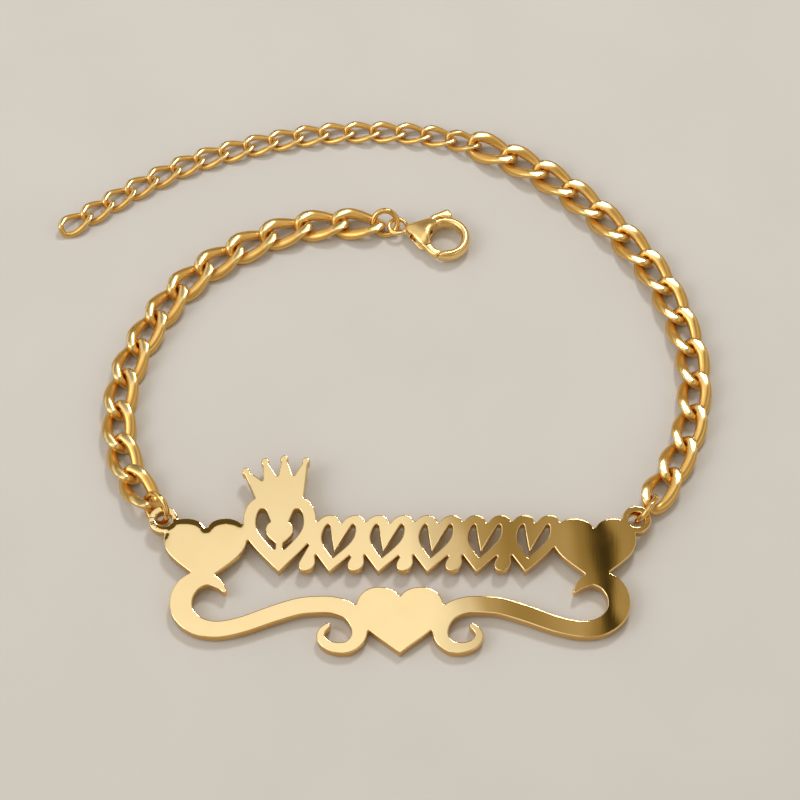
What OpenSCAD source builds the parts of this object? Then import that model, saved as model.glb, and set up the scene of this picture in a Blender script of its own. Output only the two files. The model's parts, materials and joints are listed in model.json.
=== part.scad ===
// Nameplate bracelet, unfastened and lying flat. Millimetres, +Z up.
// The front of the plate faces up, its scrolls are at the -Y edge and its crown points to +Y.
// The two runs of chain start at the plate's ends and lie in an open loop on its +Y side.

/* [Plate sheet] */
// Thickness of the sheet that the plate is cut from
plate_t = 1.2; // [0.8:0.05:1.6]
// Radius that the cut leaves in inner corners
corner_r = 0.12; // [0.05:0.01:0.2]

/* [Scrolls] */
// Width over both scrolls
scroll_span = 48; // [44:0.5:52]
// Height of the scrolls, from the curls to the upper end
scroll_h = 8.4; // [7.5:0.1:9.5]
// Widest width of the scroll ribbon
ribbon_w = 2.4; // [1.8:0.1:2.8]

/* [Hearts] */
// Width of the heart between the scrolls
mid_heart_w = 9.2; // [8:0.1:11]
// Height of the heart between the scrolls
mid_heart_h = 7.45; // [6.8:0.05:8]
// Width of each side heart
side_heart_w = 8.8; // [8:0.1:10]
// Height of each side heart
side_heart_h = 7.3; // [6.5:0.1:8.5]
// Distance between the middles of the side hearts
side_heart_span = 41; // [39:0.5:43]

/* [Lugs] */
// Distance between the holes of the two lugs
lug_span = 50; // [48:0.5:52]
// Outer diameter of a lug
lug_d = 3.1; // [2.8:0.1:3.4]
// Diameter of the hole in a lug
lug_hole_d = 1.75; // [1.5:0.05:1.9]

/* [Openwork band] */
// Height of the base line of the band above the foot of the plate
band_y = 9.1; // [8.8:0.1:9.6]
// Height of the small hearts of the band
band_h = 6.6; // [5.8:0.1:7.4]
// Number of small hearts in the band
band_hearts = 5; // [4:1:6]
// Width of the strokes that draw the small hearts
band_stroke = 1.1; // [0.9:0.05:1.3]
// Width of the large heart under the crown
large_heart_w = 7.8; // [7.2:0.1:8.6]
// Height of the large heart under the crown
large_heart_h = 8.7; // [7.6:0.1:9.5]
// Width of the stroke that draws the large heart
large_stroke = 1.4; // [1.1:0.05:1.6]
// Slant of the small hearts from upright
band_slant = 12; // [0:1:20]

/* [Crown] */
// Width of the foot of the crown
crown_w = 4.8; // [4:0.1:5.6]
// Height of the crown's inner points
crown_h = 4.4; // [3.5:0.1:5.2]
// Diameter of the balls on its points
crown_ball_d = 0.86; // [0.7:0.02:1]
// Turn of the crown on the heart
crown_turn = 8; // [0:1:12]

/* [Jump rings] */
// Outer diameter of the rings in the lugs
ring_d = 4; // [3.8:0.1:4.4]
// Wire diameter of the rings in the lugs
ring_wire = 0.6; // [0.5:0.05:0.65]
// Outer diameter of the ring at the clasp
clasp_ring_d = 3.4; // [3.1:0.1:3.6]
// Wire diameter of the ring at the clasp
clasp_ring_wire = 0.6; // [0.45:0.05:0.65]

/* [Chain] */
// Distance from one link to the next
pitch = 4.15; // [3.9:0.05:4.5]
// Width of a link
link_w = 3.6; // [3.4:0.05:3.9]
// Wire diameter of a link
link_wire = 1; // [0.8:0.05:1.05]
// Turn of each end of a link out of its plane
link_twist = 48; // [44:1:52]
// Links on the clasp side
links_left = 13; // [11:1:14]
// Links on the extender side
links_right = 14; // [12:1:15]
// Play between neighbouring links
link_play = 0.16; // [0.12:0.01:0.22]

/* [Extender] */
// Distance from one small link to the next
small_pitch = 2.95; // [2.7:0.05:3.2]
// Width of a small link
small_w = 2.7; // [2.5:0.05:2.9]
// Wire diameter of a small link
small_wire = 0.65; // [0.5:0.05:0.7]
// Number of small links
small_links = 17; // [14:1:18]

/* [Clasp] */
// Distance from the eye to the middle of the hook
clasp_reach = 5.7; // [5.2:0.1:6]
// Mean radius of the hook
hook_r = 2.25; // [2:0.05:2.35]
// Width of the hook's bar
hook_w = 0.95; // [0.85:0.05:1.05]
// Height of the hook's bar
hook_t = 1.55; // [1.4:0.05:1.7]
// Width of the clasp's body
body_w = 4.4; // [4.2:0.1:4.6]
// Thickness of the clasp's body
body_t = 2.3; // [2.2:0.05:2.5]
// Thickness of the lever
lever_t = 0.9; // [0.7:0.05:1]
// Gap between the lever and each cheek of the body
lever_gap = 0.08; // [0.05:0.01:0.12]
// Diameter of the pin that the lever turns on
pin_d = 0.6; // [0.5:0.05:0.7]
// Radial clearance between the pin and the lever's bore
pin_gap = 0.05; // [0.03:0.01:0.08]

/* [Hidden] */
$fa = 6;
$fs = 0.1;

gold = [0.87, 0.68, 0.33];
deep_gold = [0.76, 0.55, 0.22];

function link_name(side, i) = str(side, i < 10 ? "0" : "", i);

// Points of the scroll ribbon, from the leaf's tip over the outer bend and the crest into the curl.
// x is a share of half the scroll span, y of the scroll's height and w of the ribbon's widest width.
SCROLL = [
    // x,     y,    w
    [0.762, 0.83, 0.20],
    [0.788, 0.92, 0.42],
    [0.840, 1.00, 0.66],
    [0.905, 0.95, 0.90],
    [0.946, 0.78, 1.00],
    [0.943, 0.56, 0.98],
    [0.885, 0.38, 0.86],
    [0.795, 0.32, 0.77],
    [0.685, 0.38, 0.76],
    [0.545, 0.53, 0.79],
    [0.440, 0.625, 0.80],
    [0.360, 0.65, 0.80],
    [0.285, 0.64, 0.80],
    [0.218, 0.56, 0.80],
    [0.180, 0.40, 0.76],
    [0.178, 0.22, 0.66],
    [0.217, 0.095, 0.56],
    [0.270, 0.075, 0.50],
    [0.316, 0.12, 0.44],
    [0.341, 0.21, 0.38],
    [0.336, 0.30, 0.33],
    [0.312, 0.37, 0.26]
];

// One half of a heart, from the dip between its lobes round the lobe to the tip, as three curves of
// four points each. x is a share of half the width and y of the height, and dip is a share of the height.
function heart_half(dip) = [
    [[0, 1 - dip], [0.10, 0.97], [0.30, 1.00], [0.50, 1.00]],
    [[0.50, 1.00], [0.80, 1.00], [1.00, 0.86], [1.00, 0.66]],
    [[1.00, 0.66], [1.00, 0.42], [0.52, 0.26], [0, 0]]
];

// Crown outline. x is a share of the foot's width from its middle and y of the height of the inner points.
CROWN_TIPS = [[-0.68, 0.80], [-0.23, 0.99], [0.20, 1.00], [0.67, 0.87]];
CROWN_DIPS = [[-0.33, 0.46], [0.00, 0.52], [0.35, 0.49]];
crown_point_w = 0.5;
crown_sink = 0.7;

// Route of the left chain, from the hole of the left lug to beyond the hook of the clasp
ROUTE_LEFT = [
    [0.15, 0.1], [-4, 6], [-5.5, 14], [-3.5, 22.5], [2.5, 31.5], [13, 37.5], [23.5, 38], [30.5, 36],
    [38, 34.5]
];
// Route of the right chain and the extender, from the hole of the right lug to beyond the last small link
ROUTE_RIGHT = [
    [0.2, -0.1], [4, 6], [6.5, 12.5], [7, 20.5], [4, 30.5], [-2, 39], [-10, 46], [-20.5, 50.5],
    [-33.5, 51], [-46, 48], [-54, 44], [-64, 37], [-70.5, 33]
];

// Curves

function bezier(p, t) =
    p[0] * pow(1 - t, 3) + 3 * p[1] * t * pow(1 - t, 2) + 3 * p[2] * t * t * (1 - t) + p[3] * pow(t, 3);

function spline_point(a, b, c, d, t) =
    0.5 * (2 * b + (c - a) * t + (2 * a - 5 * b + 4 * c - d) * t * t + (3 * b - a - 3 * c + d) * pow(t, 3));

// A smooth curve through the points, with the same number of steps between each two
function spline(p, steps) = concat(
    [for (i = [0:len(p) - 2], k = [0:steps - 1])
        spline_point(p[max(i - 1, 0)], p[i], p[i + 1], p[min(i + 2, len(p) - 1)], k / steps)],
    [p[len(p) - 1]]);

function unit(v) = v / norm(v);
function side_of(v) = [-v.y, v.x];
function heading(p, i) = unit(p[min(i + 1, len(p) - 1)] - p[max(i - 1, 0)]);
function xy(p) = [p.x, p.y];

// Plate, drawn flat with x from its middle and y up from its foot

// A ribbon along rows of x, y and width, with round ends
module ribbon(rows) {
    path = spline(rows, 6);
    mid = [for (p = path) xy(p)];
    n = len(path) - 1;
    left = [for (i = [0:n]) mid[i] + side_of(heading(mid, i)) * path[i].z / 2];
    right = [for (i = [n:-1:0]) mid[i] - side_of(heading(mid, i)) * path[i].z / 2];
    polygon(concat(left, right));
    for (i = [0, n]) translate(mid[i]) circle(d = path[i].z);
}

module heart(w, h, dip = 0.17) {
    half = [for (c = heart_half(dip), k = [0:9]) bezier(c, k / 10)];
    n = len(half);
    polygon(concat(
        [for (p = half) [p.x * w / 2, p.y * h]],
        [[0, 0]],
        [for (i = [n - 1:-1:1]) [-half[i].x * w / 2, half[i].y * h]]));
}

module open_heart(w, h, stroke) {
    difference() {
        heart(w, h);
        offset(delta = -stroke) heart(w, h);
    }
}

// Hangs from its point at the origin
module drop(w, h) {
    hull() {
        translate([0, w / 2 - h]) circle(d = w);
        translate([0, -w / 8]) circle(d = w / 4);
    }
}

module scroll() {
    ribbon([for (p = SCROLL) [p.x * scroll_span / 2, p.y * scroll_h, p.z * ribbon_w]]);
}

// Depth of a side heart's tip in the crest of its scroll
heart_sink = 0.4;

module side_heart() {
    translate([side_heart_span / 2, scroll_h - heart_sink]) heart(side_heart_w, side_heart_h);
}

// A lug is held by a neck that reaches into the outer lobe of its side heart
lug_neck = 1.5;
lobe = [0.5, 0.66];

module lug() {
    at = [lug_span / 2, lug_y];
    translate(at) circle(d = lug_d);
    hull() {
        translate(at) circle(d = lug_neck);
        translate([side_heart_span / 2 + lobe.x * side_heart_w / 2,
                   scroll_h - heart_sink + lobe.y * side_heart_h])
            circle(d = lug_neck);
    }
}

module crown() {
    tips = [for (p = CROWN_TIPS) [p.x * crown_w, p.y * crown_h]];
    dips = [for (p = CROWN_DIPS) [p.x * crown_w, p.y * crown_h]];
    half = [crown_point_w / 2, 0];
    polygon([
        [-crown_w / 2, -crown_sink], tips[0] - half, tips[0] + half,
        dips[0], tips[1] - half, tips[1] + half,
        dips[1], tips[2] - half, tips[2] + half,
        dips[2], tips[3] - half, tips[3] + half, [crown_w / 2, -crown_sink]
    ]);
    for (p = tips) translate(p) circle(d = crown_ball_d);
}

// The small heart held in the large one on an upright stem, as shares of the large heart's size
held_y = 0.34;
held_w = 0.38;
held_h = 0.33;
stem_top = 0.82;
stem_w = 0.8;

// The large heart with the small one held in it, and the crown on top
module crowned_heart() {
    open_heart(large_heart_w, large_heart_h, large_stroke);
    translate([0, large_heart_h * held_y]) heart(large_heart_w * held_w, large_heart_h * held_h);
    translate([-stem_w / 2, large_stroke]) square([stem_w, large_heart_h * stem_top]);
    translate([0, large_heart_h]) rotate(crown_turn) crown();
}

// Overlap of neighbouring pieces of the band, and the place and size of a drop as shares of a small heart's
band_overlap = 0.5;
drop_y = 0.52;
drop_w = 0.34;
drop_h = 0.5;
// Height of a heart's widest place, as a share of its height
widest_y = 0.66;

// A slanted open heart, with a solid drop hung beside it on the left
module band_unit(w) {
    multmatrix([[1, tan(band_slant), 0, 0], [0, 1, 0, 0], [0, 0, 1, 0], [0, 0, 0, 1]]) {
        open_heart(w + band_overlap, band_h, band_stroke);
        translate([-w / 2, band_h * drop_y]) drop(w * drop_w, band_h * drop_h);
    }
}

module band() {
    left = -side_heart_span / 2 + side_heart_w / 2 - band_overlap;
    right = side_heart_span / 2 - side_heart_w / 2 + band_overlap;
    first = left + large_heart_w - band_overlap / 2;
    w = (right - first) / band_hearts;
    shift = tan(band_slant) * band_h * widest_y;
    translate([left + large_heart_w / 2, band_y]) crowned_heart();
    for (i = [0:band_hearts - 1])
        translate([first + (i + 0.5) * w - shift, band_y]) band_unit(w);
}

module plate_outline() {
    offset(r = -corner_r) offset(delta = corner_r) {
        heart_at_middle();
        band();
        for (side = [0, 1]) mirror([side, 0]) {
            scroll();
            side_heart();
            lug();
        }
    }
}

module heart_at_middle() {
    heart(mid_heart_w, mid_heart_h, 0.15);
}

// The plate leans back on the jump rings: its foot is on the table and its lugs are over the ring wire
lug_y = scroll_h - heart_sink + side_heart_h - 0.1;
lug_lift = ring_wire + 0.3;
plate_tilt = asin(lug_lift / lug_y);

module nameplate() {
    color(gold) translate([0, 0, over_table]) rotate([plate_tilt, 0, 0]) difference() {
        linear_extrude(plate_t) plate_outline();
        for (side = [-1, 1])
            translate([side * lug_span / 2, lug_y, -1]) cylinder(d = lug_hole_d, h = plate_t + 2);
    }
}

// Links

// The outline of a link before it is twisted: an oval a little squarer than an ellipse
OVAL = 3;
function oval(a, b, t) = [
    a * sign(cos(t)) * pow(abs(cos(t)), 2 / OVAL),
    b * sign(sin(t)) * pow(abs(sin(t)), 2 / OVAL)];
function oval_out(a, b, p) = unit([
    sign(p.x) * pow(abs(p.x / a), OVAL - 1) / a,
    sign(p.y) * pow(abs(p.y / b), OVAL - 1) / b]);

// A link is pressed a little flatter after it is bent: what stands past the limit is reduced
pressed_at = 0.82;
pressed_by = 0.3;
function pressed(z, limit) = abs(z) <= limit ? z : sign(z) * (limit + (abs(z) - limit) * pressed_by);

function twisted(p, a) = let (turn = -link_twist * max(-1, min(1, p.x / a)))
    [p.x, p.y * cos(turn) - p.z * sin(turn), p.y * sin(turn) + p.z * cos(turn)];

function half_length(step, wire) = (step + wire + link_play) / 2;
function half_width(w, wire) = (w - wire) / 2;

function link_raw(a, b, wire, around, sides) = [
    for (i = [0:around - 1], k = [0:sides - 1])
        let (c = oval(a, b, 360 * i / around),
             out = oval_out(a, b, c),
             r = wire / 2,
             turn = 360 * k / sides)
        twisted([c.x + out.x * r * cos(turn), c.y + out.y * r * cos(turn), r * sin(turn)], a)];

function link_points(a, b, wire, around, sides) =
    let (raw = link_raw(a, b, wire, around, sides),
         limit = pressed_at * max([for (p = raw) p.z]))
    [for (p = raw) [p.x, p.y, pressed(p.z, limit)]];

function torus_faces(around, sides) = [
    for (i = [0:around - 1], k = [0:sides - 1], half = [0, 1])
        let (j = (i + 1) % around, m = (k + 1) % sides,
             here = i * sides + k, next = j * sides + m)
        half == 0 ? [here, i * sides + m, next] : [here, next, j * sides + k]];

link_around = 16;
link_sides = 6;
small_around = 12;
small_sides = 5;
link_a = half_length(pitch, link_wire);
small_a = half_length(small_pitch, small_wire);
LINK = link_points(link_a, half_width(link_w, link_wire), link_wire, link_around, link_sides);
SMALL_LINK = link_points(small_a, half_width(small_w, small_wire), small_wire, small_around, small_sides);
link_rise = max([for (p = LINK) p.z]);
small_rise = max([for (p = SMALL_LINK) p.z]);

// Routes

function run_lengths(p) = [
    for (i = 0, s = 0; i < len(p); s = s + (i + 1 < len(p) ? norm(p[i + 1] - p[i]) : 0), i = i + 1) s];

left_path = [for (p = spline(ROUTE_LEFT, 12)) p + [-lug_span / 2, lug_y * cos(plate_tilt)]];
right_path = [for (p = spline(ROUTE_RIGHT, 12)) p + [lug_span / 2, lug_y * cos(plate_tilt)]];
left_run = run_lengths(left_path);
right_run = run_lengths(right_path);

function along(path, run, s) = [
    lookup(s, [for (i = [0:len(path) - 1]) [run[i], path[i].x]]),
    lookup(s, [for (i = [0:len(path) - 1]) [run[i], path[i].y]])];
function turn_along(path, run, s, reach) =
    let (v = along(path, run, s + reach) - along(path, run, s - reach)) atan2(v.y, v.x);

// Stations along a route, from the hole of the lug
slack = 0.2;
small_slack = 0.15;
ring_r = (ring_d - ring_wire) / 2;
ring_offset = ring_r - slack;
ring_seat = ring_r - (link_wire + ring_wire) / 2 - slack;
first_link = ring_offset + ring_seat + link_a;
function station(i) = first_link + (i - 1) * pitch;
clasp_ring_r = (clasp_ring_d - clasp_ring_wire) / 2;
clasp_ring_at = station(links_left) + link_a + clasp_ring_r - link_wire;
eye_at = clasp_ring_at + clasp_ring_r;
first_small = station(links_right) + link_a + small_a - (link_wire + small_wire) / 2 - small_slack;
function small_station(i) = first_small + (i - 1) * small_pitch;

// The links next to a lug lean up over its ring, and the first small link leans up to the large one
LUG_LEANS = [5.5, 1.5];
small_lean = 5;
function lug_lean(i) = i <= len(LUG_LEANS) ? LUG_LEANS[i - 1] : 0;

// A placement is x, y, z, turn about Z and lean of the end nearer to the lug
over_table = 0.002;
function placed(path, run, s, reach, rise, lean, a) = concat(
    along(path, run, s), [rise + over_table + a * sin(lean), turn_along(path, run, s, reach), lean]);

function left_place(i) = placed(left_path, left_run, station(i), link_a, link_rise, lug_lean(i), link_a);
function right_place(i) = placed(right_path, right_run, station(i), link_a, link_rise, lug_lean(i), link_a);
function small_place(i) =
    placed(right_path, right_run, small_station(i), small_a, small_rise, i == 1 ? small_lean : 0, small_a);

function put(p, at) = let (
    x = p.x * cos(at[4]) + p.z * sin(at[4]),
    z = p.z * cos(at[4]) - p.x * sin(at[4]))
    [at.x + x * cos(at[3]) - p.y * sin(at[3]), at.y + x * sin(at[3]) + p.y * cos(at[3]), at.z + z];

// The origin is under the middle of the whole bracelet
every_point = concat(
    [for (i = [1:links_left], p = LINK) put(p, left_place(i))],
    [for (i = [1:links_right], p = LINK) put(p, right_place(i))],
    [for (i = [1:small_links], p = SMALL_LINK) put(p, small_place(i))]);
foot_y = -plate_t * sin(plate_tilt);
middle = [
    (min([for (p = every_point) p.x]) + max([for (p = every_point) p.x])) / 2,
    (foot_y + max([for (p = every_point) p.y])) / 2];

module at_origin() {
    translate([-middle.x, -middle.y, 0]) children();
}

module link(points, around, sides, at) {
    polyhedron([for (p = points) put(p, at)], torus_faces(around, sides));
}

module link_left(i) {
    color(gold) link(LINK, link_around, link_sides, left_place(i));
}

module link_right(i) {
    color(gold) link(LINK, link_around, link_sides, right_place(i));
}

module extender_chain() {
    color(gold) for (i = [1:small_links]) link(SMALL_LINK, small_around, small_sides, small_place(i));
}

// Jump rings

// A ring that stands on its edge in line with its first argument and leans to the right of it
module standing_ring(turn, lean, d, wire) {
    rotate(turn) rotate([lean - 90, 0, 0]) rotate_extrude() translate([(d - wire) / 2, 0]) circle(d = wire);
}

left_ring_lean = 25;
right_ring_lean = 20;
clasp_ring_lean = 44;
clasp_ring_aside = 0.2;

module lug_ring(path, run, lean) {
    at = along(path, run, ring_offset);
    translate([at.x, at.y, ring_r * cos(lean) + ring_wire / 2])
        standing_ring(turn_along(path, run, ring_offset, ring_offset), lean, ring_d, ring_wire);
}

module jump_ring_left() {
    color(deep_gold) lug_ring(left_path, left_run, left_ring_lean);
}

module jump_ring_right() {
    color(deep_gold) lug_ring(right_path, right_run, right_ring_lean);
}

module clasp_ring() {
    at = along(left_path, left_run, clasp_ring_at);
    turn = turn_along(left_path, left_run, clasp_ring_at, clasp_ring_r);
    color(deep_gold) translate([at.x, at.y, clasp_ring_r * cos(clasp_ring_lean) + clasp_ring_wire / 2])
        rotate(turn) translate([0, clasp_ring_aside, 0])
            standing_ring(180, clasp_ring_lean, clasp_ring_d, clasp_ring_wire);
}

// Clasp, drawn flat with its eye at the origin and its hook along +X

eye_wire = 0.55;
eye_r = 1;
neck_r = 0.75;
belly_x = 1.5;
belly_size = [0.9, 1.62, 1];
// Angles on the hook's circle of the bar's root and of the gate's end
hook = [clasp_reach, 0];
hook_root = 152;
hook_tip = -90;
past_tip = 20;
shoulder = hook + hook_r * [-0.98, 0.02];
shoulder_l = hook_r * 0.7;

pivot = hook + hook_r * [-1.24, -0.35];
slot_t = lever_t + 2 * lever_gap;
slot_back = pivot.x - 1.1;
slot_front = hook.x - hook_r * 0.77;
gate_slot_front = hook.x - hook_r * 0.3;
gate_slot_top = pivot.y - 0.1;
swing_slot_front = hook.x - hook_r + hook_w / 2 + 0.35;
swing_slot_top = pivot.y + 1.2;
lever_root_r = 0.58;
arm = hook + hook_r * [-0.98, 0.98];
arm_r = 0.34;
// The thumb's fin stands on the bar of the hook, with a foot and a tip
fin_foot = hook + hook_r * [-0.2, 1.37];
fin_foot_r = 0.3;
fin_tip = hook + hook_r * [-0.42, 1.58];
fin_tip_r = 0.25;
// The hook's hole takes this much off the round inside of its bar
bar_trim = 0.015;
hook_bore_r = hook_r - hook_w / 2 + bar_trim;
gate_heel = hook + hook_r * [-0.72, -0.7];
gate_reach = norm(hook + hook_r * [cos(hook_tip), sin(hook_tip)] - pivot);
pin_l = 0.82 * body_t;

clasp_z = body_t / 2;

module at_clasp() {
    at = along(left_path, left_run, eye_at);
    to = along(left_path, left_run, eye_at + clasp_reach);
    translate([at.x, at.y, clasp_z]) rotate(atan2(to.y - at.y, to.x - at.x)) children();
}

// The bar of the hook between two angles, with round upper and lower edges
module hook_bar(from, to) {
    translate(hook) rotate(from) rotate_extrude(angle = to - from) translate([hook_r, 0]) {
        for (side = [-1, 1]) translate([0, side * (hook_t - hook_w) / 2]) circle(d = hook_w);
        square([hook_w, hook_t - hook_w], center = true);
    }
}

// The shell is an egg drawn over a neck at the eye, a belly and a shoulder at the hook
module clasp_shell() {
    hull() {
        translate([eye_r + eye_wire, 0, 0]) sphere(neck_r, $fn = 20);
        translate([eye_r + belly_x, 0, 0]) scale(belly_size) sphere(1, $fn = 24);
        translate([shoulder.x, shoulder.y, 0])
            scale([shoulder_l, body_w / 2, body_t / 2]) sphere(1, $fn = 32);
    }
}

module clasp_body() {
    color(gold) at_origin() at_clasp() {
        difference() {
            union() {
                clasp_shell();
                difference() {
                    hook_bar(hook_tip - past_tip, hook_root);
                    intersection() {
                        translate([pivot.x, pivot.y, -body_t])
                            cylinder(r = gate_reach + lever_gap, h = 2 * body_t);
                        translate([0, -2 * body_w, -body_t]) cube([2 * clasp_reach, 2 * body_w, 2 * body_t]);
                    }
                }
            }
            translate([hook.x, hook.y, -body_t]) cylinder(r = hook_bore_r, h = 2 * body_t);
            translate([slot_back, -body_w, -slot_t / 2]) {
                cube([slot_front - slot_back, 2 * body_w, slot_t]);
                cube([swing_slot_front - slot_back, swing_slot_top + body_w, slot_t]);
                cube([gate_slot_front - slot_back, gate_slot_top + body_w, slot_t]);
            }
            translate([pivot.x, pivot.y, -body_t]) cylinder(d = pin_d, h = 2 * body_t);
        }
        rotate_extrude() translate([eye_r, 0]) circle(d = eye_wire);
    }
}

// The gate of the lever follows the hook's ring, and ends in an arc about the pin
module gate() {
    intersection() {
        difference() {
            translate(hook) circle(hook_r + hook_w / 2);
            translate(hook) circle(hook_bore_r);
        }
        translate(pivot) circle(gate_reach);
        translate([pivot.x, -2 * hook_r]) square([2 * hook_r, 2 * hook_r + pivot.y]);
    }
}

module clasp_lever() {
    color(gold) at_origin() at_clasp() translate([0, 0, -lever_t / 2]) difference() {
        linear_extrude(lever_t) {
            gate();
            hull() {
                translate(pivot) circle(lever_root_r);
                translate(gate_heel) circle(hook_w / 2);
            }
            hull() {
                translate(pivot) circle(lever_root_r);
                translate(arm) circle(arm_r);
            }
            difference() {
                hull() {
                    translate(arm) circle(arm_r);
                    translate(fin_foot) circle(fin_foot_r);
                    translate(fin_tip) circle(fin_tip_r);
                }
                translate(hook) circle(hook_r + hook_w / 2 + lever_gap);
            }
        }
        translate([pivot.x, pivot.y, -1]) cylinder(d = pin_d + 2 * pin_gap, h = lever_t + 2);
    }
}

module clasp_pin() {
    color(deep_gold) at_origin() at_clasp()
        translate([pivot.x, pivot.y, -pin_l / 2]) cylinder(d = pin_d, h = pin_l);
}

at_origin() nameplate();
at_origin() jump_ring_left();
at_origin() jump_ring_right();
at_origin() clasp_ring();
clasp_body();
clasp_lever();
clasp_pin();
at_origin() extender_chain();
for (i = [1:links_left])
    at_origin() link_left(i);
for (i = [1:links_right])
    at_origin() link_right(i);
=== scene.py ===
# A bracelet of gold-plated steel, unfastened on a table: a pierced plate, two runs of curb chain,
# a lobster clasp on the left run and an extender on the right one. Lengths are in metres.
import json
import math

import bmesh
import bpy
import numpy as np
from mathutils import Matrix, Vector
from mathutils.kdtree import KDTree


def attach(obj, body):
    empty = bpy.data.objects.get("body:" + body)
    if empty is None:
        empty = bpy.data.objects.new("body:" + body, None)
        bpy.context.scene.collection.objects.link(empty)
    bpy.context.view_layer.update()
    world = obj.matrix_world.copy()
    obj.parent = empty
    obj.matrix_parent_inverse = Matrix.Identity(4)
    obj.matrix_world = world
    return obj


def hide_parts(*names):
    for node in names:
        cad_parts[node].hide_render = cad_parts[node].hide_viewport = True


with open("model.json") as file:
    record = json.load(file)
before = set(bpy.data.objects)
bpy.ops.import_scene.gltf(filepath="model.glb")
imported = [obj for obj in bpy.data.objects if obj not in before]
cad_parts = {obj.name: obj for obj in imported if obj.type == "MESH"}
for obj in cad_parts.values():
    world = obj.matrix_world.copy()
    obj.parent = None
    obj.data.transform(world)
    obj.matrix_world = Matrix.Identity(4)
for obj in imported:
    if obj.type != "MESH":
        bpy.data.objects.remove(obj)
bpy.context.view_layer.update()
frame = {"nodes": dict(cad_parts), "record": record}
nodes = frame["nodes"]
scene = bpy.context.scene


# The view. The bracelet is looked down on from in front of the plate, through a long lens.
# The lens gives lens_pixels of the picture for each metre across at a metre away.
aim = Vector((0.0023526, -0.002914, 0))
looking_down = math.radians(59.5)
camera_away = 0.3
picture_pixels = 800
lens_pixels = 2746.4
camera = bpy.data.objects.new("camera", bpy.data.cameras.new("camera"))
camera.data.sensor_width = 36
camera.data.lens = camera.data.sensor_width * lens_pixels / picture_pixels
camera.data.clip_start = 0.01
camera.location = aim + camera_away * Vector((0, -math.cos(looking_down), math.sin(looking_down)))
camera.rotation_euler = (math.pi / 2 - looking_down, 0, 0)
scene.collection.objects.link(camera)
scene.camera = camera
scene.view_settings.view_transform = "Standard"


# The table, a wide sheet of pale paper with a fine tooth. The bracelet lies on it.
paper = bpy.data.materials.new("pale_paper")
paper.use_nodes = True
n, link = paper.node_tree.nodes, paper.node_tree.links.new
shade = n["Principled BSDF"]
shade.inputs["Roughness"].default_value = 0.85
shade.inputs["Specular IOR Level"].default_value = 0.25
spot = n.new("ShaderNodeTexCoord")
cloud = n.new("ShaderNodeTexNoise")
cloud.inputs["Scale"].default_value = 60
cloud.inputs["Detail"].default_value = 6
tone = n.new("ShaderNodeMix")
tone.data_type = "RGBA"
tone.inputs["A"].default_value = (0.62, 0.61, 0.60, 1)
tone.inputs["B"].default_value = (0.68, 0.67, 0.66, 1)
link(spot.outputs["Object"], cloud.inputs["Vector"])
link(cloud.outputs["Fac"], tone.inputs["Factor"])
link(tone.outputs["Result"], shade.inputs["Base Color"])
tooth = n.new("ShaderNodeTexNoise")
tooth.inputs["Scale"].default_value = 4000
raise_tooth = n.new("ShaderNodeBump")
raise_tooth.inputs["Strength"].default_value = 0.3
raise_tooth.inputs["Distance"].default_value = 0.00003
link(spot.outputs["Object"], tooth.inputs["Vector"])
link(tooth.outputs["Fac"], raise_tooth.inputs["Height"])
link(raise_tooth.outputs["Normal"], shade.inputs["Normal"])

bm = bmesh.new()
bmesh.ops.create_grid(bm, x_segments=4, y_segments=4, size=1.5)
table = bpy.data.objects.new("table", bpy.data.meshes.new("table"))
bm.to_mesh(table.data)
bm.free()
table.data.materials.append(paper)
scene.collection.objects.link(table)


# The light, a studio with a broad soft panel overhead, weaker ones in front and at the sides, and
# dark walls. Polished gold shows mostly its surroundings: the panel overhead fades towards its
# right, where it ends in a narrow dark seam before a dimmer one.
studio = bpy.data.worlds.new("studio")
scene.world = studio
studio.use_nodes = True
n, link = studio.node_tree.nodes, studio.node_tree.links.new
n.clear()
out = n.new("ShaderNodeOutputWorld")
glow = n.new("ShaderNodeBackground")
glow.inputs["Strength"].default_value = 1
link(glow.outputs["Background"], out.inputs["Surface"])
spot = n.new("ShaderNodeTexCoord")
parts = n.new("ShaderNodeSeparateXYZ")
link(spot.outputs["Generated"], parts.inputs["Vector"])


def edge(value, low, high, to_low=0.0, to_high=1.0):
    """A soft step in the studio's light as a direction's value goes from low to high."""
    step = n.new("ShaderNodeMapRange")
    step.interpolation_type = "SMOOTHSTEP"
    step.inputs["From Min"].default_value = low
    step.inputs["From Max"].default_value = high
    step.inputs["To Min"].default_value = to_low
    step.inputs["To Max"].default_value = to_high
    link(value, step.inputs["Value"])
    return step.outputs["Result"]


def join(kind, a, b):
    """Adds or multiplies two amounts of light."""
    sum_of = n.new("ShaderNodeMath")
    sum_of.operation = kind
    link(a, sum_of.inputs[0])
    if isinstance(b, float):
        sum_of.inputs[1].default_value = b
    else:
        link(b, sum_of.inputs[1])
    return sum_of.outputs["Value"]


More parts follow.
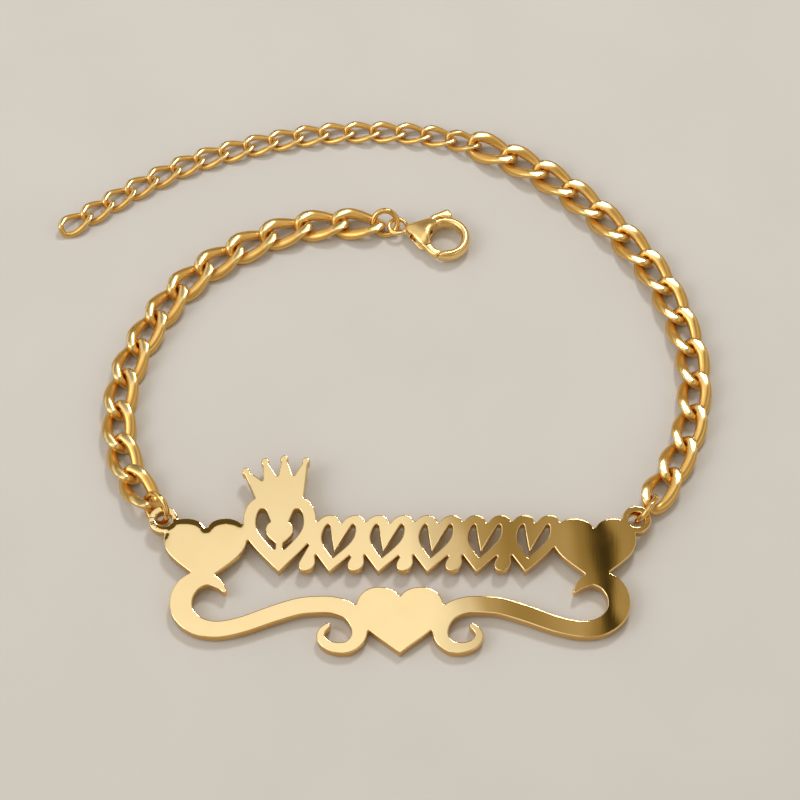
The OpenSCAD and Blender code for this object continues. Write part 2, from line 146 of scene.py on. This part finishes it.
x, y, z = parts.outputs["X"], parts.outputs["Y"], parts.outputs["Z"]
panel_starts_fading = 0.05
panel_levels = ((0.18, 0.72), (0.28, 0.42), (0.42, 0.28), (0.60, 0.40), (0.67, 0.24), (0.72, 0.03),
                (0.735, 0.0), (0.75, 0.0), (0.80, 0.34), (1.0, 0.22))
fading = n.new("ShaderNodeValToRGB")
fading.color_ramp.interpolation = "EASE"
fading.color_ramp.elements.remove(fading.color_ramp.elements[1])
fading.color_ramp.elements[0].color = (1, 1, 1, 1)
fading.color_ramp.elements[0].position = panel_starts_fading
for at, level in panel_levels:
    stop = fading.color_ramp.elements.new(at)
    stop.color = (level, level, level, 1)
leaning = join("ADD", join("MULTIPLY", z, -5.5), 5.148)
link(join("ADD", join("MULTIPLY", x, 10.0), leaning), fading.inputs["Fac"])
panel = join("MULTIPLY", edge(z, 0.900, 0.917), edge(z, 0.915, 0.955, 0.86, 1.08))
panel = join("MULTIPLY", panel, fading.outputs["Color"])
right_panel = join("MULTIPLY", edge(x, 0.42, 0.5), edge(z, 0.3, 0.5))
left_panel = join("MULTIPLY", edge(x, -0.22, -0.34), edge(z, 0.25, 0.45))
front_panel = join("MULTIPLY", edge(y, -0.3, -0.5), edge(z, 0.3, 0.5))
wall_strip = join("MULTIPLY", edge(z, 0.12, 0.2), edge(z, 0.45, 0.35))
ceiling = join("MULTIPLY", edge(z, 0.4, 0.6), edge(z, 0.917, 0.900))
light = join("MULTIPLY", panel, 0.95)
for part, level in ((right_panel, 0.6), (left_panel, 0.7), (front_panel, 0.35), (wall_strip, 0.45),
                    (ceiling, 0.05)):
    light = join("ADD", light, join("MULTIPLY", part, level))
everywhere = 0.05
link(join("ADD", light, everywhere), glow.inputs["Strength"])
warmth = n.new("ShaderNodeMix")
warmth.data_type = "RGBA"
warmth.inputs["A"].default_value = (1, 0.72, 0.25, 1)
warmth.inputs["B"].default_value = (1, 0.99, 0.98, 1)
link(edge(light, 0.1, 0.9), warmth.inputs["Factor"])
link(warmth.outputs["Result"], glow.inputs["Color"])

for name, place, size, power in (
    ("key", (0.09, 0.28, 0.44), 0.12, 0.9),
    ("fill", (-0.35, -0.10, 0.30), 0.25, 0.4),
):
    lamp = bpy.data.objects.new(name, bpy.data.lights.new(name, "AREA"))
    lamp.data.shape = "DISK"
    lamp.data.size = size
    lamp.data.energy = power
    lamp.data.color = (1.0, 0.97, 0.92)
    lamp.location = place
    lamp.rotation_euler = (aim - Vector(place)).to_track_quat("-Z", "Y").to_euler()
    lamp.visible_camera = False
    scene.collection.objects.link(lamp)


# The plate, one sheet of stainless steel cut by laser, mirror-polished and gold-plated.
# Polishing has rounded its rim, and has rolled the upper edge of the left heart's lobes down.
def plated(name, bright, deep, rough, wave, wave_mm, scratch, drawn=1.0):
    """Gold plating on polished steel: bright where it is clean, deeper where it is dull.
    wave is the height of its slow waves, and drawn below 1 draws the fine scratches out along Y."""
    metal = bpy.data.materials.new(name)
    metal.use_nodes = True
    n, link = metal.node_tree.nodes, metal.node_tree.links.new
    shade = n["Principled BSDF"]
    shade.inputs["Metallic"].default_value = 1
    spot = n.new("ShaderNodeTexCoord")
    cloud = n.new("ShaderNodeTexNoise")
    cloud.inputs["Scale"].default_value = 350
    cloud.inputs["Detail"].default_value = 5
    cloud.inputs["Roughness"].default_value = 0.6
    link(spot.outputs["Object"], cloud.inputs["Vector"])
    tone = n.new("ShaderNodeMix")
    tone.data_type = "RGBA"
    tone.name = "tone"
    tone.inputs["A"].default_value = (*bright, 1)
    tone.inputs["B"].default_value = (*deep, 1)
    link(cloud.outputs["Fac"], tone.inputs["Factor"])
    link(tone.outputs["Result"], shade.inputs["Base Color"])
    dull = n.new("ShaderNodeMapRange")
    dull.name = "dull"
    dull.inputs["From Min"].default_value = 0.35
    dull.inputs["From Max"].default_value = 0.7
    dull.inputs["To Min"].default_value = rough[0]
    dull.inputs["To Max"].default_value = rough[1]
    link(cloud.outputs["Fac"], dull.inputs["Value"])
    link(dull.outputs["Result"], shade.inputs["Roughness"])
    swell = n.new("ShaderNodeTexNoise")
    swell.inputs["Scale"].default_value = 1000 / wave_mm
    swell.inputs["Detail"].default_value = 1
    link(spot.outputs["Object"], swell.inputs["Vector"])
    heave = n.new("ShaderNodeBump")
    heave.inputs["Strength"].default_value = 1
    heave.inputs["Distance"].default_value = wave
    link(swell.outputs["Fac"], heave.inputs["Height"])
    lines = n.new("ShaderNodeTexNoise")
    lines.inputs["Scale"].default_value = 6000
    lines.inputs["Detail"].default_value = 2
    stroke = n.new("ShaderNodeMapping")
    stroke.inputs["Scale"].default_value = (1, drawn, 1)
    link(spot.outputs["Object"], stroke.inputs["Vector"])
    link(stroke.outputs["Vector"], lines.inputs["Vector"])
    hair = n.new("ShaderNodeBump")
    hair.inputs["Strength"].default_value = 1
    hair.inputs["Distance"].default_value = scratch
    link(lines.outputs["Fac"], hair.inputs["Height"])
    link(heave.outputs["Normal"], hair.inputs["Normal"])
    link(hair.outputs["Normal"], shade.inputs["Normal"])
    return metal


def shown(name, bm, *metals, sharp=35):
    """Makes a finished piece of a mesh, smooth except where it turns by more than sharp degrees."""
    mesh = bpy.data.meshes.new(name)
    bm.to_mesh(mesh)
    bm.free()
    piece = bpy.data.objects.new(name, mesh)
    for metal in metals:
        mesh.materials.append(metal)
    mesh.shade_smooth()
    mesh.set_sharp_from_angle(angle=math.radians(sharp))
    scene.collection.objects.link(piece)
    return piece


def keep_flat(piece, up):
    """Faces square to up set the shading at their own edges, so that they look flat right up to them."""
    mesh = piece.data
    facing = {}
    for f in mesh.polygons:
        if abs(f.normal.dot(up)) > 0.98:
            for v in f.vertices:
                facing[v] = facing.get(v, Vector()) + f.normal * f.area
    normals = [facing.get(corner.vertex_index, mesh.corner_normals[k].vector).normalized()
               for k, corner in enumerate(mesh.loops)]
    mesh.normals_split_custom_set(normals)


def solid_of(node):
    """A copy of a solid's mesh, with its loose triangles merged."""
    bm = bmesh.new()
    bm.from_mesh(nodes[node].data)
    bmesh.ops.remove_doubles(bm, verts=bm.verts, dist=1e-6)
    return bm


rim_round = 0.00012
rolled_over = 0.0007
rolled_down = 0.00005
heart_from, heart_fade, heart_to = 0.0161, 0.0015, 0.0252
lobes_from, lobes_full, lobes_to = -0.0222, -0.0198, -0.0180
cut_step, rim_step = 0.0002, 0.00008
back = next(m for m in frame["record"]["mounts"] if m["name"] == "plate_back")
lean = Matrix.Rotation(math.asin(back["axis"][1]), 4, "X")

bm = solid_of("nameplate")
bmesh.ops.transform(bm, matrix=lean.inverted(), verts=bm.verts)
bmesh.ops.dissolve_limit(bm, angle_limit=math.radians(0.5), verts=bm.verts, edges=bm.edges)
top = max(v.co.z for v in bm.verts)
foot = min(v.co.z for v in bm.verts)
middle = (min(v.co.x for v in bm.verts) + max(v.co.x for v in bm.verts)) / 2
rim = [e for e in bm.edges if e.calc_face_angle(0) > 1
       and (min(v.co.z for v in e.verts) > top - 1e-6 or max(v.co.z for v in e.verts) < foot + 1e-6)]
bmesh.ops.bevel(bm, geom=rim, offset=rim_round, offset_type="OFFSET", segments=3, profile=0.5,
                affect="EDGES", clamp_overlap=False, material=-1)
bmesh.ops.triangulate(bm, faces=[f for f in bm.faces if f.normal.z > 0.999])
edges_of_face = [e for e in bm.edges if e.is_manifold
                 and max(f.normal.z for f in e.link_faces) > 0.999 > min(f.normal.z for f in e.link_faces)]
cuts = [(Vector((1, 0, 0)), middle - at) for at in np.arange(heart_from, heart_to, cut_step)]
cuts += [(Vector((0, 1, 0)), at) for at in np.arange(lobes_from, lobes_to, cut_step)]
near = []
for e in edges_of_face:
    a, b = (v.co for v in e.verts)
    steps = max(1, int((a - b).length / rim_step))
    near += [a.lerp(b, k / steps) for k in range(steps + 1)]
for way, at in cuts:
    up = [f for f in bm.faces if f.normal.z > 0.999 and max(v.co.y for v in f.verts) > lobes_from
          and min(v.co.x for v in f.verts) < middle - heart_from]
    geom = set(up)
    for f in up:
        geom.update(f.edges)
        geom.update(f.verts)
    bmesh.ops.bisect_plane(bm, geom=list(geom), dist=1e-7, plane_co=way * at, plane_no=way)
rim_points = KDTree(len(near))
for k, p in enumerate(near):
    rim_points.insert((p.x, p.y, 0), k)
rim_points.balance()
for v in bm.verts:
    height = (v.co.z - (top - rim_round)) / rim_round
    aside = (middle - heart_from - v.co.x) / heart_fade
    lobe = min(1, (v.co.y - lobes_from) / (lobes_full - lobes_from), aside)
    if height > 0 and lobe > 0 and v.co.y < lobes_to:
        lobe = lobe * lobe * (3 - 2 * lobe)
        away = rim_points.find((v.co.x, v.co.y, 0))[2] if height > 0.99 else 0
        if away < rolled_over:
            v.co.z -= lobe * rolled_down * min(height, 1) * (1 - away / rolled_over) ** 2
for f in bm.faces:
    f.material_index = 1 if abs(f.normal.z) < 0.5 else 0
bmesh.ops.transform(bm, matrix=lean, verts=bm.verts)
polish = plated("plate_polish", (0.98, 0.77, 0.42), (0.95, 0.71, 0.34), (0.01, 0.03), 0.00003, 11, 8e-8,
                drawn=0.06)
cut = plated("plate_cut_edge", (0.88, 0.56, 0.18), (0.70, 0.40, 0.10), (0.12, 0.28), 0.00002, 0.8, 8e-7)
plate = shown("plate", bm, polish, cut)
keep_flat(plate, lean @ Vector((0, 0, 1)))
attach(plate, "bracelet")
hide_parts("nameplate")


# The jump rings, round wire bent into rings and closed, each through a lug of the plate.
# The joint of the wire's ends shows as a hairline gap.
def lie_of(points):
    """The middle of a piece and its upright frame: its longest way, its middle way and its thinnest."""
    middle = points.mean(axis=0)
    ways = np.linalg.eigh(np.cov((points - middle).T))[1]
    thin, long = Vector(ways[:, 0]), Vector(ways[:, 2])
    if thin.z < 0:
        thin.negate()
    wide = thin.cross(long)
    place = Matrix((long, wide, thin)).transposed().to_4x4()
    place.translation = Vector(middle)
    return place


def points_of(node):
    mesh = nodes[node].data
    got = np.empty(len(mesh.vertices) * 3)
    mesh.vertices.foreach_get("co", got)
    return got.reshape(-1, 3)


hairline = 0.00005


def wire_ring(node, across, wire, gap_at):
    """A ring of round wire where the solid is, with the joint of its ends gap_at degrees from the top."""
    place = lie_of(points_of(node))
    thin = place.col[2].xyz
    up = (Vector((0, 0, 1)) - thin * thin.z).normalized()
    upright = Matrix((up, thin.cross(up), thin)).transposed().to_4x4()
    upright.translation = place.translation
    bm = bmesh.new()
    radius = (across - wire) / 2
    bmesh.ops.create_circle(bm, segments=20, radius=wire / 2,
                            matrix=Matrix.Translation((radius, 0, 0)) @ Matrix.Rotation(math.pi / 2, 4, "X"))
    gap = hairline / radius
    bmesh.ops.spin(bm, geom=bm.edges[:], cent=(0, 0, 0), axis=(0, 0, 1), angle=2 * math.pi - gap, steps=72)
    bmesh.ops.holes_fill(bm, edges=bm.edges[:])
    bmesh.ops.recalc_face_normals(bm, faces=bm.faces)
    bmesh.ops.transform(bm, matrix=upright @ Matrix.Rotation(math.radians(gap_at), 4, "Z"), verts=bm.verts)
    return bm


ring_across, ring_wire = 0.004, 0.00063
ring_gold = plated("ring_gold", (0.90, 0.60, 0.22), (0.76, 0.46, 0.13), (0.16, 0.3), 0.00001, 2.5, 3e-7)
for side, gap_at in (("left", 60), ("right", -70)):
    ring = shown("jump_ring_" + side + "_wire",
                 wire_ring("jump_ring_" + side, ring_across, ring_wire, gap_at), ring_gold)
    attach(ring, "bracelet")
    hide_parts("jump_ring_" + side)


# The curb chain, ovals of round wire, each twisted and soldered, then pressed flat as a chain.
# The links hold each other, so their crossings stand highest and are rubbed smoothest, and their colour is
# painted paler there as a highlight.
def curb_link(half_length, half_width, wire, segments, steps, widened, twist=48,
              pressed_at=0.82, pressed_by=0.3, filed_at=0.74, filed_by=0.12):
    """One link about its middle, with how far each place is rubbed smooth and painted paler as a highlight.
    Pressing has widened the wire of its long sides and flattened its underside, and its upper side is filed
    flatter still."""
    bm = bmesh.new()
    rubbed_and_highlight = bm.verts.layers.float.new("rubbed_and_highlight")
    bmesh.ops.create_circle(bm, segments=segments, radius=wire / 2,
                            matrix=Matrix.Translation((half_length, 0, 0))
                            @ Matrix.Rotation(math.pi / 2, 4, "X"))
    bmesh.ops.spin(bm, geom=bm.edges[:], cent=(0, 0, 0), axis=(0, 0, 1), angle=2 * math.pi, steps=steps,
                   use_merge=True)
    bmesh.ops.remove_doubles(bm, verts=bm.verts, dist=1e-7)
    for v in bm.verts:
        turn = math.atan2(v.co.y, v.co.x)
        out_by = math.hypot(v.co.x, v.co.y) - half_length
        c, s = math.cos(turn), math.sin(turn)
        size = (abs(c) ** 3 + abs(s) ** 3) ** (1 / 3)
        way = Vector((c / size * half_length, s / size * half_width, 0))
        out = Vector((math.copysign((way.x / half_length) ** 2 / half_length, c),
                      math.copysign((way.y / half_width) ** 2 / half_width, s), 0)).normalized()
        v.co = way + out * out_by * (1 + widened * (way.y / half_width) ** 2) + Vector((0, 0, v.co.z))
        bend = -math.radians(twist) * max(-1, min(1, v.co.x / half_length))
        v.co = Matrix.Rotation(bend, 3, "X") @ v.co
    highest = max(v.co.z for v in bm.verts)
    for v in bm.verts:
        at, by = (filed_at, filed_by) if v.co.z > 0 else (pressed_at, pressed_by)
        past = abs(v.co.z) - at * highest
        # The crests' amount: real rubbing, which makes them smoother, and painted highlight, which makes
        # them paler.
        v[rubbed_and_highlight] = max(0, min(1, 0.35 + past / (0.25 * wire)))
        if past > 0:
            v.co.z = math.copysign(at * highest + past * by, v.co.z)
    bmesh.ops.recalc_face_normals(bm, faces=bm.faces)
    mesh = bpy.data.meshes.new("link")
    bm.to_mesh(mesh)
    bm.free()
    return mesh


def rub_with_painted_highlight(metal, bright):
    """Rubbed places of a metal are smoother, and their colour is painted paler as a highlight."""
    n, link = metal.node_tree.nodes, metal.node_tree.links.new
    wear_and_highlight = n.new("ShaderNodeAttribute")
    wear_and_highlight.attribute_name = "rubbed_and_highlight"
    # Painted highlight: the crests' colour is mixed towards a paler gold.
    painted_highlight = n.new("ShaderNodeMix")
    painted_highlight.data_type = "RGBA"
    painted_highlight.inputs["B"].default_value = (*bright, 1)
    link(wear_and_highlight.outputs["Fac"], painted_highlight.inputs["Factor"])
    link(n["tone"].outputs["Result"], painted_highlight.inputs["A"])
    link(painted_highlight.outputs["Result"], n["Principled BSDF"].inputs["Base Color"])
    smoother = n.new("ShaderNodeMix")
    smoother.inputs["B"].default_value = 0.24
    link(wear_and_highlight.outputs["Fac"], smoother.inputs["Factor"])
    link(n["dull"].outputs["Result"], smoother.inputs["A"])
    link(smoother.outputs["Result"], n["Principled BSDF"].inputs["Roughness"])


link_mesh = curb_link(half_length=0.002635, half_width=0.00126, wire=0.00104, segments=14, steps=48,
                      widened=0.24)
chain_gold = plated("chain_gold", (0.90, 0.60, 0.20), (0.74, 0.43, 0.11), (0.28, 0.40), 0.00001, 1.5, 4e-7)
# The paler gold is the painted highlight on the links' crests.
rub_with_painted_highlight(chain_gold, (0.97, 0.74, 0.35))
for side in ("left", "right"):
    run = bmesh.new()
    held = [name for name in nodes if name.startswith("link_" + side)]
    for name in sorted(held):
        done = len(run.verts)
        run.from_mesh(link_mesh)
        run.verts.ensure_lookup_table()
        bmesh.ops.transform(run, matrix=lie_of(points_of(name)), verts=run.verts[done:])
    chain = shown("curb_chain_" + side, run, chain_gold, sharp=60)
    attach(chain, "bracelet")
    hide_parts(*held)


# The extender, a finer curb chain of the same make, so that the bracelet can be closed wider.
small_mesh = curb_link(half_length=0.00188, half_width=0.001, wire=0.00064, segments=12, steps=36,
                       widened=0.12)
loose = solid_of("extender_chain")
run = bmesh.new()
left_over = set(loose.verts)
while left_over:
    one_link, waiting = set(), [left_over.pop()]
    while waiting:
        v = waiting.pop()
        one_link.add(v)
        for e in v.link_edges:
            w = e.other_vert(v)
            if w in left_over:
                left_over.discard(w)
                waiting.append(w)
    done = len(run.verts)
    run.from_mesh(small_mesh)
    run.verts.ensure_lookup_table()
    bmesh.ops.transform(run, matrix=lie_of(np.array([v.co[:] for v in one_link])), verts=run.verts[done:])
loose.free()
extender = shown("extender_links", run, chain_gold, sharp=60)
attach(extender, "bracelet")
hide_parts("extender_chain")


# The small ring between the last link and the clasp, closed like the jump rings.
clasp_ring_across, clasp_ring_wire = 0.00342, 0.00064
ring = shown("clasp_ring_wire", wire_ring("clasp_ring", clasp_ring_across, clasp_ring_wire, 150), ring_gold)
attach(ring, "bracelet")
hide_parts("clasp_ring")


# The clasp's body, an investment casting with its eye and its fixed hook in one, tumbled smooth.
# It is split for the lever, and the lever's pin is riveted through it, its ends ground to the
# slope of the shell around them.
def cast(name, bm, grain, smooths):
    """The form of one or more solids, with the soft edges of a tumbled casting."""
    rough_cast = shown(name, bm)
    voxels = rough_cast.modifiers.new("voxels", "REMESH")
    voxels.mode = "VOXEL"
    voxels.voxel_size = grain
    tumbled = bmesh.new()
    tumbled.from_object(rough_cast, bpy.context.evaluated_depsgraph_get())
    bpy.data.objects.remove(rough_cast)
    for _ in range(smooths):
        bmesh.ops.smooth_vert(tumbled, verts=tumbled.verts, factor=0.5, use_axis_x=True, use_axis_y=True,
                              use_axis_z=True)
    return tumbled


bm = solid_of("clasp_body")
pin = solid_of("clasp_pin")
pin_at = sum((v.co for v in pin.verts), Vector()) / len(pin.verts)
around_pin, half_slot = 0.00032, 0.0006
for side in (-1, 1):
    mouth = np.array([v.co[:] for v in bm.verts
                      if (v.co - pin_at).xy.length < around_pin and (v.co - pin_at).z * side > half_slot])
    spread = np.column_stack((mouth[:, :2], np.ones(len(mouth))))
    slope = np.linalg.lstsq(spread, mouth[:, 2], rcond=None)[0]
    for v in pin.verts:
        if (v.co - pin_at).z * side > half_slot:
            v.co.z = slope[0] * v.co.x + slope[1] * v.co.y + slope[2]
riveted = bpy.data.meshes.new("riveted_pin")
pin.to_mesh(riveted)
pin.free()
bm.from_mesh(riveted)
clasp_gold = plated("clasp_gold", (0.97, 0.71, 0.32), (0.87, 0.58, 0.20), (0.22, 0.34), 0.00001, 2.2, 3e-7)
body = shown("clasp_casting", cast("clasp_casting", bm, grain=0.00006, smooths=50), clasp_gold, sharp=180)
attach(body, "bracelet")
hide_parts("clasp_body", "clasp_pin")


# The lever, cast too, whose gate closes the hook and whose fin the thumb pulls to open it.
# A spring hidden in the body pushes it shut.
bm = solid_of("clasp_lever")
lever = shown("lever_casting", cast("lever_casting", bm, grain=0.00004, smooths=110), clasp_gold, sharp=180)
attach(lever, "lever")
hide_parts("clasp_lever")
